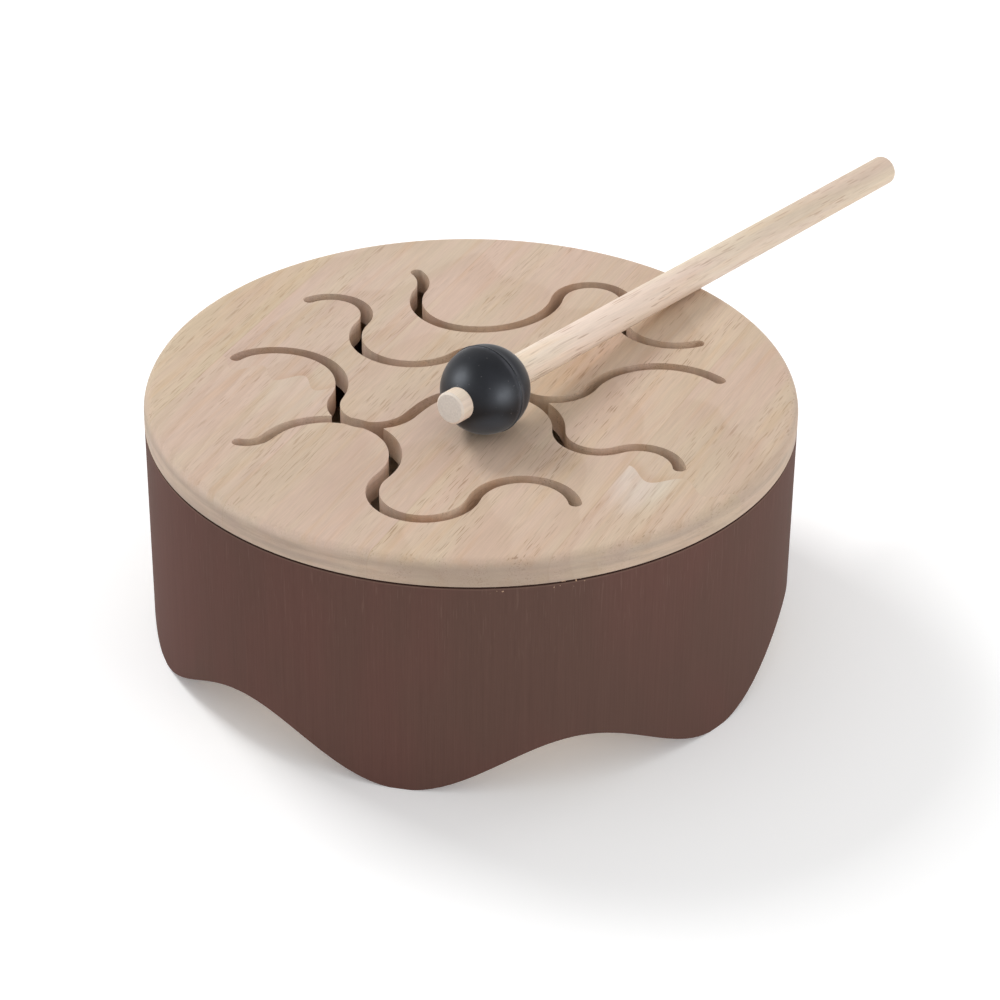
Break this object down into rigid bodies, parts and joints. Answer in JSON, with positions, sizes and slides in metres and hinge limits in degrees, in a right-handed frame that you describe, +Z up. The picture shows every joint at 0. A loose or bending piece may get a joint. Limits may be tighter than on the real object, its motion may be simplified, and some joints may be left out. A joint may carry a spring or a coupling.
{
  "type": "wooden tongue drum",
  "caption": "Round wooden tongue drum with wavy through-cut slots, a dark shell with a scalloped foot edge, and a loose mallet with a rubber ball head.",
  "frame": {"origin": "on the drum's axis, in the plane that its six feet stand on", "axes": "+Z up along the drum's axis; -Y towards the player; the loose mallet lies towards +X and +Y"},
  "size_m": [0.1962, 0.2105, 0.0863],
  "materials": {
    "board_wood": "sanded and thinly oiled, matte, fine pores along the grain",
    "stained_shell": "dark brown stain, matte, faint upright grain",
    "inner_wood": "bare wood, sawn and unfinished",
    "stick_wood": "sanded dowel, bare",
    "black_rubber": "moulded rubber, satin"
  },
  "bodies": {
    "drum": {"board_stave_1": "board_wood", "board_stave_2_back": "board_wood", "board_stave_2_front": "board_wood", "board_stave_3": "board_wood", "board_stave_4": "board_wood", "board_stave_5_back": "board_wood", "board_stave_5_front": "board_wood", "drum_shell": "stained_shell", "glue_ring": "inner_wood", "base_board": "inner_wood"},
    "mallet": {"mallet_stick": "stick_wood", "mallet_head": "black_rubber"}
  },
  "joints": [
    {"name": "mallet_lift", "type": "slide", "parent": "drum", "child": "mallet", "axis": [0, 0, 1], "range_m": [0, 0.12]}
  ]
}
